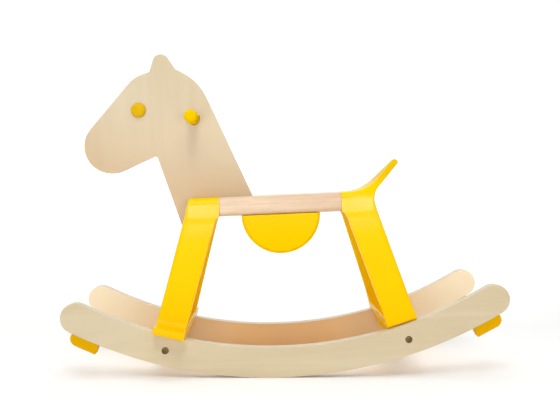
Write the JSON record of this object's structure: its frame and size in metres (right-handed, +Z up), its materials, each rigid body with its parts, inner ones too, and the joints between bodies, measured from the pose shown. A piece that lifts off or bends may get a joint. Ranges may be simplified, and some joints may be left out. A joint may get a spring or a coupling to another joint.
{
  "type": "rocking horse",
  "caption": "Toddler rocking horse: curved wooden rockers, splayed yellow ring-shaped leg frames with footrests, plank seat, flat profile head with a crossbar grip, and a raised tail.",
  "frame": {"origin": "on the floor under the middle of the rockers, where they touch it when the seat is level", "axes": "+Z up, -Y the way the horse faces, +X the horse's left side"},
  "size_m": [0.336, 0.7342, 0.5505],
  "materials": {
    "birch_plywood": "clear satin lacquer",
    "rubberwood": "clear satin lacquer",
    "yellow_plastic": "glossy",
    "yellow_lacquered_wood": "gloss yellow lacquer",
    "black_steel": "blackened",
    "zinc_steel": "zinc plated",
    "beech": "unfinished"
  },
  "bodies": {
    "root": {"barrel_nut_front_left": "zinc_steel", "barrel_nut_front_right": "zinc_steel", "barrel_nut_rear_left": "zinc_steel", "barrel_nut_rear_right": "zinc_steel", "eye_left": "yellow_lacquered_wood", "eye_right": "yellow_lacquered_wood", "flap_dowel_left_front": "beech", "flap_dowel_left_rear": "beech", "flap_dowel_right_front": "beech", "flap_dowel_right_rear": "beech", "front_leg_frame": "yellow_plastic", "handle_bar": "yellow_lacquered_wood", "head_panel": "birch_plywood", "head_screw_1": "zinc_steel", "head_screw_2": "zinc_steel", "rear_leg_frame": "yellow_plastic", "rocker_bolt_front_left": "black_steel", "rocker_bolt_front_right": "black_steel", "rocker_bolt_rear_left": "black_steel", "rocker_bolt_rear_right": "black_steel", "rocker_left": "birch_plywood", "rocker_right": "birch_plywood", "saddle_flap_left": "yellow_plastic", "saddle_flap_right": "yellow_plastic", "seat_bolt_front_left": "black_steel", "seat_bolt_front_right": "black_steel", "seat_bolt_rear_left": "black_steel", "seat_bolt_rear_right": "black_steel", "seat_plank": "rubberwood", "stopper_front_left": "yellow_plastic", "stopper_front_right": "yellow_plastic", "stopper_rear_left": "yellow_plastic", "stopper_rear_right": "yellow_plastic", "stopper_screw_front_left_1": "zinc_steel", "stopper_screw_front_left_2": "zinc_steel", "stopper_screw_front_right_1": "zinc_steel", "stopper_screw_front_right_2": "zinc_steel", "stopper_screw_rear_left_1": "zinc_steel", "stopper_screw_rear_left_2": "zinc_steel", "stopper_screw_rear_right_1": "zinc_steel", "stopper_screw_rear_right_2": "zinc_steel", "threaded_insert_front_left": "zinc_steel", "threaded_insert_front_right": "zinc_steel", "threaded_insert_rear_left": "zinc_steel", "threaded_insert_rear_right": "zinc_steel"}
  },
  "joints": []
}
